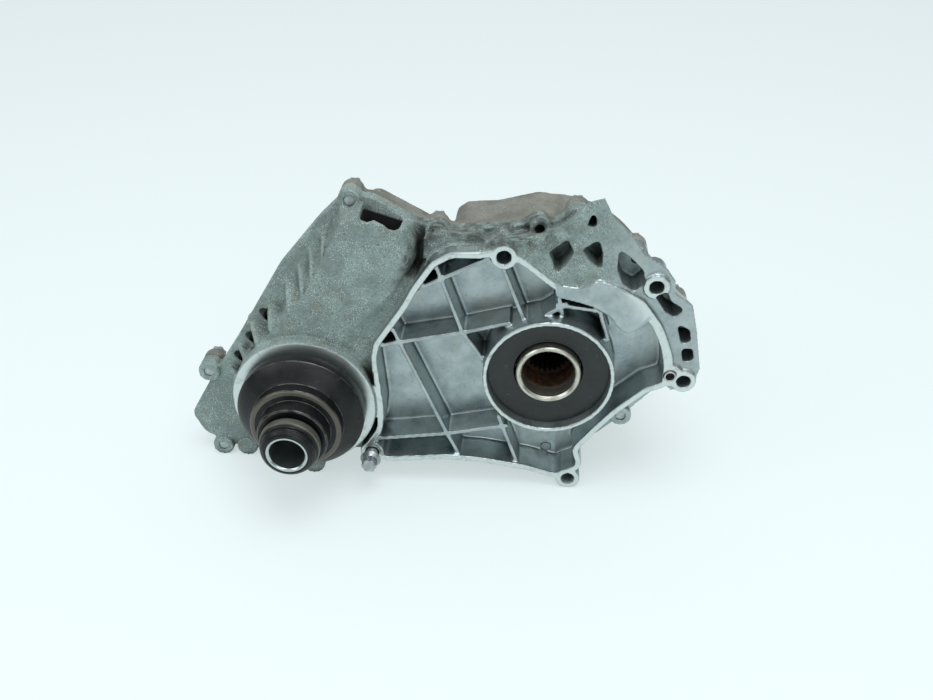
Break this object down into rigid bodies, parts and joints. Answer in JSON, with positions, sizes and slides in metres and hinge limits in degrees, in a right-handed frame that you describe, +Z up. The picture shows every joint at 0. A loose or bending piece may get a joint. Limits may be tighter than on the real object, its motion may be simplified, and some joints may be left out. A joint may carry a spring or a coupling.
{
  "type": "transfer case",
  "caption": "Gear-driven transfer case that bolts to a gearbox: ribbed bell with a sealed hollow input shaft, side output stub with dust shield, and a rear output flange.",
  "frame": {"origin": "input axis, on the face that bolts to the gearbox", "axes": "+Y along the shafts away from the gearbox, +X to the right seen from the gearbox, +Z up"},
  "size_m": [0.416, 0.277, 0.262],
  "materials": {
    "die_cast_aluminium": "die-cast aluminium, bright and slightly blue, machined white on the joint faces",
    "sand_cast_aluminium": "sand-textured cast aluminium, dulled brownish grey by road film",
    "zinc_flake_steel": "zinc-flake coated fastener steel",
    "ground_steel": "ground dowel steel",
    "seal_rubber": "black nitrile rubber over a steel case, satin",
    "plated_steel": "zinc-plated steel",
    "washer_aluminium": "soft aluminium sealing washer",
    "black_nylon": "moulded black nylon",
    "turned_steel": "turned steel, oily, with fine lathe rings",
    "phosphated_steel": "black phosphated steel, satin, worn brown-grey on its edges",
    "friction_paper": "bonded paper friction lining",
    "plate_steel": "cold rolled steel plate, oily",
    "gear_steel": "case-hardened ground gear steel",
    "bearing_steel": "polished bearing steel",
    "machined_steel": "machined steel"
  },
  "bodies": {
    "housing": {"front_housing": "die_cast_aluminium", "rear_housing": "sand_cast_aluminium", "housing_bolts": "zinc_flake_steel", "gearbox_bolt": "zinc_flake_steel", "gearbox_dowel": "ground_steel", "input_seal": "seal_rubber", "front_output_seal": "seal_rubber", "rear_output_seal": "seal_rubber", "input_bearing_outer_ring": "bearing_steel", "rear_bearing_outer_ring": "bearing_steel", "front_output_bearing_outer_ring": "bearing_steel", "front_tail_bearing_outer_ring": "bearing_steel", "idler_axle": "machined_steel", "idler_thrust_washers": "machined_steel", "fill_plug": "plated_steel", "drain_plug": "plated_steel", "plug_washers": "washer_aluminium", "breather_tube": "black_nylon"},
    "input": {"input_shaft": "turned_steel", "input_bearing_inner_ring": "bearing_steel", "input_bearing_balls": "bearing_steel", "carrier_front_plate": "machined_steel", "carrier_back_plate": "machined_steel", "planet_pins": "machined_steel", "planet_gears": "gear_steel", "clutch_hub": "machined_steel", "friction_plates": "friction_paper"},
    "front_drive": {"drive_gear": "gear_steel", "drive_gear_rollers": "bearing_steel"},
    "rear_output": {"ring_gear_drum": "gear_steel", "steel_plates": "plate_steel", "disc_spring": "plate_steel", "rear_output_shaft": "machined_steel", "rear_output_flange": "phosphated_steel", "rear_flange_nut": "plated_steel", "rear_bearing_inner_ring": "bearing_steel", "rear_bearing_balls": "bearing_steel"},
    "idler": {"idler_gear": "gear_steel", "idler_rollers": "bearing_steel"},
    "front_output": {"output_gear": "gear_steel", "front_output_shaft": "phosphated_steel", "dust_shield": "phosphated_steel", "front_output_bearing_inner_ring": "bearing_steel", "front_output_bearing_balls": "bearing_steel", "front_tail_bearing_inner_ring": "bearing_steel", "front_tail_bearing_balls": "bearing_steel", "tail_lock_ring": "machined_steel"}
  },
  "joints": [
    {"name": "input_spin", "type": "hinge", "parent": "housing", "child": "input", "pos_m": [0, 0, 0], "axis": [0, 1, 0], "continuous": true},
    {"name": "rear_output_spin", "type": "hinge", "parent": "housing", "child": "rear_output", "pos_m": [0, 0, 0], "axis": [0, 1, 0], "continuous": true},
    {"name": "front_drive_spin", "type": "hinge", "parent": "housing", "child": "front_drive", "pos_m": [0, 0, 0], "axis": [0, 1, 0], "continuous": true},
    {"name": "idler_spin", "type": "hinge", "parent": "housing", "child": "idler", "pos_m": [-0.10484, 0, 0.02594], "axis": [0, 1, 0], "continuous": true},
    {"name": "front_output_spin", "type": "hinge", "parent": "housing", "child": "front_output", "pos_m": [-0.194, 0, -0.035], "axis": [0, 1, 0], "continuous": true}
  ],
  "couplings": [
    {"joint": "rear_output_spin", "follows": "input_spin", "ratio": 1},
    {"joint": "front_drive_spin", "follows": "input_spin", "ratio": 1},
    {"joint": "idler_spin", "follows": "input_spin", "ratio": -1.0571},
    {"joint": "front_output_spin", "follows": "input_spin", "ratio": 1}
  ]
}
